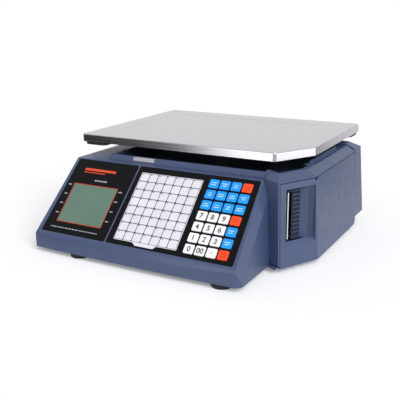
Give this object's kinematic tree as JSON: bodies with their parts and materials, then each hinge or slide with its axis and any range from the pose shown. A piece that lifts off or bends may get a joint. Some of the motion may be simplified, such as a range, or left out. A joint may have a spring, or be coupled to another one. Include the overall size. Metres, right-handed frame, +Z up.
{
  "type": "label printing scale",
  "caption": "Counter-top label printing scale with a steel platter, sloped keyboard console and a side door over its label printer.",
  "frame": {"origin": "centre of the overall footprint, on the surface that the feet stand on", "axes": "+Z up; -Y towards the operator, whose console is at the front; +X to the operator's right, where the printer door is"},
  "size_m": [0.3955, 0.404, 0.1606],
  "materials": {
    "casing_plastic": "fine-textured moulded blue-grey ABS",
    "base_plastic": "moulded blue-grey ABS",
    "frame_plastic": "dark blue moulded plastic",
    "black_plastic": "black moulded plastic",
    "overlay_film": "satin printed polyester film",
    "lcd_glass": "grey-green display glass",
    "card": "coated card with a printed grid",
    "circuit_board": "green solder mask",
    "key_blue": "satin blue",
    "key_orange": "satin orange-red",
    "key_white": "satin white",
    "stainless": "brushed stainless sheet",
    "stainless_bar": "polished stainless edge",
    "black_casting": "black powder-coated casting",
    "black_rubber": "matt black rubber",
    "roller_rubber": "ground rubber",
    "cell_aluminium": "machined",
    "zinc_steel": "zinc-plated",
    "gear_plastic": "natural acetal",
    "motor_metal": "black painted stepper case",
    "head_metal": "anodised carrier",
    "label_paper": "white thermal label stock"
  },
  "bodies": {
    "casing": {"upper_housing": "casing_plastic", "base_pan": "base_plastic", "casing_screws": "zinc_steel", "rear_cover": "casing_plastic", "display_overlay": "overlay_film", "keyboard_overlay": "overlay_film", "lcd_module": "lcd_glass", "keyboard_board": "circuit_board", "load_cell_mount": "zinc_steel", "load_cell": "cell_aluminium", "customer_display": "lcd_glass", "power_inlet": "black_plastic", "printer_frame": "frame_plastic", "feed_motor": "motor_metal", "peel_bar": "stainless_bar", "main_board": "circuit_board", "power_supply": "circuit_board"},
    "door": {"printer_door": "casing_plastic"},
    "load_frame": {"spider": "black_casting", "spider_pads": "black_rubber"},
    "platter": {"platter": "stainless"},
    "platen": {"platen_roller": "roller_rubber"},
    "pinion": {"motor_gear": "gear_plastic"},
    "head": {"print_head": "head_metal"},
    "label_roll": {"label_roll": "label_paper"},
    "spool": {"take_up_spool": "frame_plastic"},
    "card": {"preset_card": "card"},
    "rocker": {"power_switch": "black_plastic"},
    "key_r1c1": {"key_r1c1": "key_blue"},
    "key_r1c2": {"key_r1c2": "key_blue"},
    "key_r1c3": {"key_r1c3": "key_blue"},
    "key_r1c4": {"key_r1c4": "key_orange"},
    "key_r2c1": {"key_r2c1": "key_blue"},
    "key_r2c2": {"key_r2c2": "key_blue"},
    "key_r2c3": {"key_r2c3": "key_blue"},
    "key_r2c4": {"key_r2c4": "key_blue"},
    "key_r3c1": {"key_r3c1": "key_blue"},
    "key_r3c2": {"key_r3c2": "key_blue"},
    "key_r3c3": {"key_r3c3": "key_blue"},
    "key_r3c4": {"key_r3c4": "key_blue"},
    "key_r4c1": {"key_r4c1": "key_white"},
    "key_r4c2": {"key_r4c2": "key_white"},
    "key_r4c3": {"key_r4c3": "key_white"},
    "key_r4c4": {"key_r4c4": "key_orange"},
    "key_r5c1": {"key_r5c1": "key_white"},
    "key_r5c2": {"key_r5c2": "key_white"},
    "key_r5c3": {"key_r5c3": "key_white"},
    "key_r5c4": {"key_r5c4": "key_blue"},
    "key_r6c1": {"key_r6c1": "key_white"},
    "key_r6c2": {"key_r6c2": "key_white"},
    "key_r6c3": {"key_r6c3": "key_white"},
    "key_r6c4": {"key_r6c4": "key_blue"},
    "key_r7c1": {"key_r7c1": "key_white"},
    "key_r7c2": {"key_r7c2": "key_white"},
    "key_r7c3": {"key_r7c3": "key_white"},
    "key_r7c4": {"key_r7c4": "key_orange"},
    "foot_front_left": {"foot_front_left": "black_rubber"},
    "foot_front_right": {"foot_front_right": "black_rubber"},
    "foot_rear_left": {"foot_rear_left": "black_rubber"},
    "foot_rear_right": {"foot_rear_right": "black_rubber"}
  },
  "joints": [
    {"name": "platter_lift", "type": "slide", "parent": "load_frame", "child": "platter", "axis": [0, 0, 1], "range_m": [0, 0.04]},
    {"name": "load_deflection", "type": "slide", "parent": "casing", "child": "load_frame", "axis": [0, 0, 1], "range_m": [-0.0006, 0], "stiffness_N_per_m": 250000, "springref_m": 0.00008, "deforming": ["load_cell"]},
    {"name": "door_hinge", "type": "hinge", "parent": "casing", "child": "door", "pos_m": [0.1935, 0.1254, 0.008], "axis": [-0.0542, 0, 0.9985], "range_deg": [0, 110]},
    {"name": "label_roll_spin", "type": "hinge", "parent": "casing", "child": "label_roll", "pos_m": [0.138, 0.062, 0.08], "axis": [0, 0, 1], "continuous": true},
    {"name": "platen_spin", "type": "hinge", "parent": "casing", "child": "platen", "pos_m": [0.15109, -0.08005, 0.08], "axis": [0, 0, 1], "continuous": true},
    {"name": "motor_spin", "type": "hinge", "parent": "casing", "child": "pinion", "pos_m": [0.14776, -0.06114, 0.036], "axis": [0, 0, 1], "continuous": true},
    {"name": "take_up_spin", "type": "hinge", "parent": "casing", "child": "spool", "pos_m": [0.108, -0.02, 0.08], "axis": [0, 0, 1], "continuous": true},
    {"name": "head_pivot", "type": "hinge", "parent": "casing", "child": "head", "pos_m": [0.12538, -0.07943, 0.08], "axis": [0, 0, 1], "range_deg": [-5, 0], "stiffness_Nm_per_rad": 0.5, "springref_deg": 11.46},
    {"name": "card_slide", "type": "slide", "parent": "casing", "child": "card", "axis": [0, -0.7071, -0.7071], "range_m": [0, 0.13]},
    {"name": "rocker_pivot", "type": "hinge", "parent": "casing", "child": "rocker", "pos_m": [-0.125, 0.1663, 0.0405], "axis": [1, 0, 0], "range_deg": [0, 14]},
    {"name": "key_r1c1_press", "type": "slide", "parent": "casing", "child": "key_r1c1", "axis": [0, 0.7071, -0.7071], "range_m": [0, 0.0008], "stiffness_N_per_m": 800, "springref_m": -0.0005},
    {"name": "key_r1c2_press", "type": "slide", "parent": "casing", "child": "key_r1c2", "axis": [0, 0.7071, -0.7071], "range_m": [0, 0.0008], "stiffness_N_per_m": 800, "springref_m": -0.0005},
    {"name": "key_r1c3_press", "type": "slide", "parent": "casing", "child": "key_r1c3", "axis": [0, 0.7071, -0.7071], "range_m": [0, 0.0008], "stiffness_N_per_m": 800, "springref_m": -0.0005},
    {"name": "key_r1c4_press", "type": "slide", "parent": "casing", "child": "key_r1c4", "axis": [0, 0.7071, -0.7071], "range_m": [0, 0.0008], "stiffness_N_per_m": 800, "springref_m": -0.0005},
    {"name": "key_r2c1_press", "type": "slide", "parent": "casing", "child": "key_r2c1", "axis": [0, 0.7071, -0.7071], "range_m": [0, 0.0008], "stiffness_N_per_m": 800, "springref_m": -0.0005},
    {"name": "key_r2c2_press", "type": "slide", "parent": "casing", "child": "key_r2c2", "axis": [0, 0.7071, -0.7071], "range_m": [0, 0.0008], "stiffness_N_per_m": 800, "springref_m": -0.0005},
    {"name": "key_r2c3_press", "type": "slide", "parent": "casing", "child": "key_r2c3", "axis": [0, 0.7071, -0.7071], "range_m": [0, 0.0008], "stiffness_N_per_m": 800, "springref_m": -0.0005},
    {"name": "key_r2c4_press", "type": "slide", "parent": "casing", "child": "key_r2c4", "axis": [0, 0.7071, -0.7071], "range_m": [0, 0.0008], "stiffness_N_per_m": 800, "springref_m": -0.0005},
    {"name": "key_r3c1_press", "type": "slide", "parent": "casing", "child": "key_r3c1", "axis": [0, 0.7071, -0.7071], "range_m": [0, 0.0008], "stiffness_N_per_m": 800, "springref_m": -0.0005},
    {"name": "key_r3c2_press", "type": "slide", "parent": "casing", "child": "key_r3c2", "axis": [0, 0.7071, -0.7071], "range_m": [0, 0.0008], "stiffness_N_per_m": 800, "springref_m": -0.0005},
    {"name": "key_r3c3_press", "type": "slide", "parent": "casing", "child": "key_r3c3", "axis": [0, 0.7071, -0.7071], "range_m": [0, 0.0008], "stiffness_N_per_m": 800, "springref_m": -0.0005},
    {"name": "key_r3c4_press", "type": "slide", "parent": "casing", "child": "key_r3c4", "axis": [0, 0.7071, -0.7071], "range_m": [0, 0.0008], "stiffness_N_per_m": 800, "springref_m": -0.0005},
    {"name": "key_r4c1_press", "type": "slide", "parent": "casing", "child": "key_r4c1", "axis": [0, 0.7071, -0.7071], "range_m": [0, 0.0008], "stiffness_N_per_m": 800, "springref_m": -0.0005},
    {"name": "key_r4c2_press", "type": "slide", "parent": "casing", "child": "key_r4c2", "axis": [0, 0.7071, -0.7071], "range_m": [0, 0.0008], "stiffness_N_per_m": 800, "springref_m": -0.0005},
    {"name": "key_r4c3_press", "type": "slide", "parent": "casing", "child": "key_r4c3", "axis": [0, 0.7071, -0.7071], "range_m": [0, 0.0008], "stiffness_N_per_m": 800, "springref_m": -0.0005},
    {"name": "key_r4c4_press", "type": "slide", "parent": "casing", "child": "key_r4c4", "axis": [0, 0.7071, -0.7071], "range_m": [0, 0.0008], "stiffness_N_per_m": 800, "springref_m": -0.0005},
    {"name": "key_r5c1_press", "type": "slide", "parent": "casing", "child": "key_r5c1", "axis": [0, 0.7071, -0.7071], "range_m": [0, 0.0008], "stiffness_N_per_m": 800, "springref_m": -0.0005},
    {"name": "key_r5c2_press", "type": "slide", "parent": "casing", "child": "key_r5c2", "axis": [0, 0.7071, -0.7071], "range_m": [0, 0.0008], "stiffness_N_per_m": 800, "springref_m": -0.0005},
    {"name": "key_r5c3_press", "type": "slide", "parent": "casing", "child": "key_r5c3", "axis": [0, 0.7071, -0.7071], "range_m": [0, 0.0008], "stiffness_N_per_m": 800, "springref_m": -0.0005},
    {"name": "key_r5c4_press", "type": "slide", "parent": "casing", "child": "key_r5c4", "axis": [0, 0.7071, -0.7071], "range_m": [0, 0.0008], "stiffness_N_per_m": 800, "springref_m": -0.0005},
    {"name": "key_r6c1_press", "type": "slide", "parent": "casing", "child": "key_r6c1", "axis": [0, 0.7071, -0.7071], "range_m": [0, 0.0008], "stiffness_N_per_m": 800, "springref_m": -0.0005},
    {"name": "key_r6c2_press", "type": "slide", "parent": "casing", "child": "key_r6c2", "axis": [0, 0.7071, -0.7071], "range_m": [0, 0.0008], "stiffness_N_per_m": 800, "springref_m": -0.0005},
    {"name": "key_r6c3_press", "type": "slide", "parent": "casing", "child": "key_r6c3", "axis": [0, 0.7071, -0.7071], "range_m": [0, 0.0008], "stiffness_N_per_m": 800, "springref_m": -0.0005},
    {"name": "key_r6c4_press", "type": "slide", "parent": "casing", "child": "key_r6c4", "axis": [0, 0.7071, -0.7071], "range_m": [0, 0.0008], "stiffness_N_per_m": 800, "springref_m": -0.0005},
    {"name": "key_r7c1_press", "type": "slide", "parent": "casing", "child": "key_r7c1", "axis": [0, 0.7071, -0.7071], "range_m": [0, 0.0008], "stiffness_N_per_m": 800, "springref_m": -0.0005},
    {"name": "key_r7c2_press", "type": "slide", "parent": "casing", "child": "key_r7c2", "axis": [0, 0.7071, -0.7071], "range_m": [0, 0.0008], "stiffness_N_per_m": 800, "springref_m": -0.0005},
    {"name": "key_r7c3_press", "type": "slide", "parent": "casing", "child": "key_r7c3", "axis": [0, 0.7071, -0.7071], "range_m": [0, 0.0008], "stiffness_N_per_m": 800, "springref_m": -0.0005},
    {"name": "key_r7c4_press", "type": "slide", "parent": "casing", "child": "key_r7c4", "axis": [0, 0.7071, -0.7071], "range_m": [0, 0.0008], "stiffness_N_per_m": 800, "springref_m": -0.0005},
    {"name": "foot_front_left_turn", "type": "hinge", "parent": "casing", "child": "foot_front_left", "pos_m": [-0.126, -0.183, 0.004], "axis": [0, 0, 1], "range_deg": [0, 1800]},
    {"name": "foot_front_right_turn", "type": "hinge", "parent": "casing", "child": "foot_front_right", "pos_m": [0.11, -0.183, 0.004], "axis": [0, 0, 1], "range_deg": [0, 1800]},
    {"name": "foot_rear_left_turn", "type": "hinge", "parent": "casing", "child": "foot_rear_left", "pos_m": [-0.176, 0.114, 0.004], "axis": [0, 0, 1], "range_deg": [0, 1800]},
    {"name": "foot_rear_right_turn", "type": "hinge", "parent": "casing", "child": "foot_rear_right", "pos_m": [0.176, 0.114, 0.004], "axis": [0, 0, 1], "range_deg": [0, 1800]}
  ],
  "couplings": [
    {"joint": "platen_spin", "follows": "label_roll_spin", "ratio": 6},
    {"joint": "motor_spin", "follows": "label_roll_spin", "ratio": -10},
    {"joint": "take_up_spin", "follows": "label_roll_spin", "ratio": 3}
  ]
}
